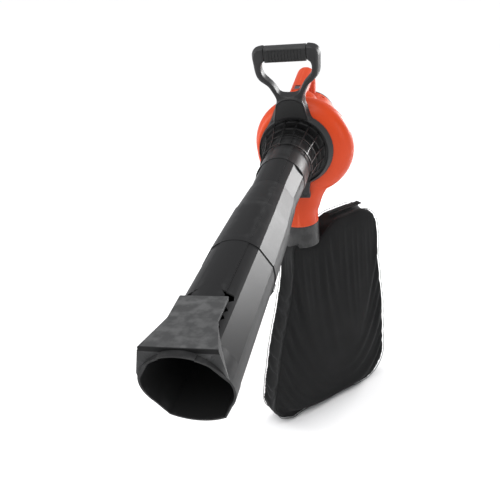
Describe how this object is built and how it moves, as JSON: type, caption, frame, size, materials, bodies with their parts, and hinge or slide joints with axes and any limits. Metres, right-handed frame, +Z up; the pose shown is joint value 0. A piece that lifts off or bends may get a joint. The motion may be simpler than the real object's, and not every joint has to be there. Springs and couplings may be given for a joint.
{
  "type": "leaf blower",
  "caption": "Corded garden blower-vac with scroll housing, D-handle frame, rear handle, two-piece suction tube and hanging leaf bag.",
  "frame": {"origin": "centre of the front D-handle's grip bar, where a hand holds the tool", "axes": "-Y forwards along the suction tube to the nozzle, +X to the tool's right seen from the nozzle end, +Z up"},
  "size_m": [0.3265, 1.2532, 1.0412],
  "materials": {
    "orange_shell": "moulded ABS, semi-gloss orange",
    "orange_bezel": "moulded ABS, semi-gloss dark orange",
    "grey_frame": "moulded nylon, satin dark grey",
    "charcoal_panel": "moulded nylon, fine texture",
    "grip_rubber": "soft overmoulded rubber",
    "tube_plastic": "moulded polypropylene, satin charcoal",
    "shoe_plastic": "moulded polypropylene, satin grey",
    "black_plastic": "moulded black plastic",
    "grey_button": "moulded grey plastic",
    "bag_cloth": "woven black polyester",
    "zip_tape": "woven zip tape with nylon coil",
    "dark_metal": "blackened steel",
    "steel": "machined steel",
    "lamination": "stacked electrical steel",
    "copper": "enamelled copper",
    "bracket_alloy": "die-cast aluminium",
    "carbon": "pressed carbon",
    "brass_pin": "plated brass"
  },
  "bodies": {
    "housing": {"brush_holders": "black_plastic", "carbon_brushes": "carbon", "field_coils": "copper", "frame_screws": "dark_metal", "front_bearing": "steel", "front_frame": "grey_frame", "front_grip": "grip_rubber", "housing_left": "orange_shell", "housing_right": "orange_shell", "housing_screws": "dark_metal", "inlet_guard": "black_plastic", "inlet_pins": "brass_pin", "intake_socket": "black_plastic", "mains_inlet": "black_plastic", "motor_can": "black_plastic", "motor_front_bracket": "bracket_alloy", "motor_rear_bracket": "bracket_alloy", "outlet_spigot": "black_plastic", "rear_bearing": "steel", "rear_cover": "black_plastic", "shield_panel": "charcoal_panel", "stator_core": "lamination", "strap_lug": "black_plastic", "switch_bezel": "orange_bezel", "switch_module": "black_plastic"},
    "rotor": {"rotor_shaft": "steel", "armature_core": "lamination", "armature_windings": "copper", "commutator": "copper", "cooling_fan": "black_plastic", "impeller": "black_plastic", "shredder_blade": "steel", "blade_washers": "steel", "impeller_nut": "steel"},
    "switch": {"power_switch": "grey_button"},
    "upper_tube": {"upper_tube": "tube_plastic"},
    "lower_tube": {"lower_tube": "tube_plastic", "nozzle_shoe": "shoe_plastic"},
    "tube_latch": {"tube_latch": "black_plastic"},
    "bag": {"bag_collar": "black_plastic", "bag_front_panel": "bag_cloth", "bag_rear_panel": "bag_cloth", "bag_gusset": "bag_cloth", "bag_zip": "zip_tape"},
    "bag_button": {"bag_button": "black_plastic"},
    "zip_pull": {"zip_pull": "dark_metal"}
  },
  "joints": [
    {"name": "fan_spin", "type": "hinge", "parent": "housing", "child": "rotor", "pos_m": [0, 0.07304, -0.2367], "axis": [0, 1, 0], "continuous": true},
    {"name": "switch_slide", "type": "slide", "parent": "housing", "child": "switch", "axis": [0, 0.994, 0.1095], "range_m": [0, 0.008]},
    {"name": "upper_tube_pull", "type": "slide", "parent": "housing", "child": "upper_tube", "axis": [0, -1, 0], "range_m": [0, 0.055]},
    {"name": "lower_tube_pull", "type": "slide", "parent": "upper_tube", "child": "lower_tube", "axis": [0, -1, 0], "range_m": [0, 0.185]},
    {"name": "tube_latch_press", "type": "slide", "parent": "lower_tube", "child": "tube_latch", "axis": [-0.788, 0, 0.6157], "range_m": [0, 0.0025], "stiffness_N_per_m": 1200, "springref_m": -0.001},
    {"name": "bag_drop", "type": "slide", "parent": "housing", "child": "bag", "axis": [0, 0, -1], "range_m": [0, 0.04]},
    {"name": "bag_button_press", "type": "slide", "parent": "bag", "child": "bag_button", "axis": [1, 0, 0], "range_m": [0, 0.0025], "stiffness_N_per_m": 1200, "springref_m": -0.001},
    {"name": "zip_slide", "type": "slide", "parent": "bag", "child": "zip_pull", "axis": [0.7071, 0.7071, 0], "range_m": [0, 0.075]}
  ]
}
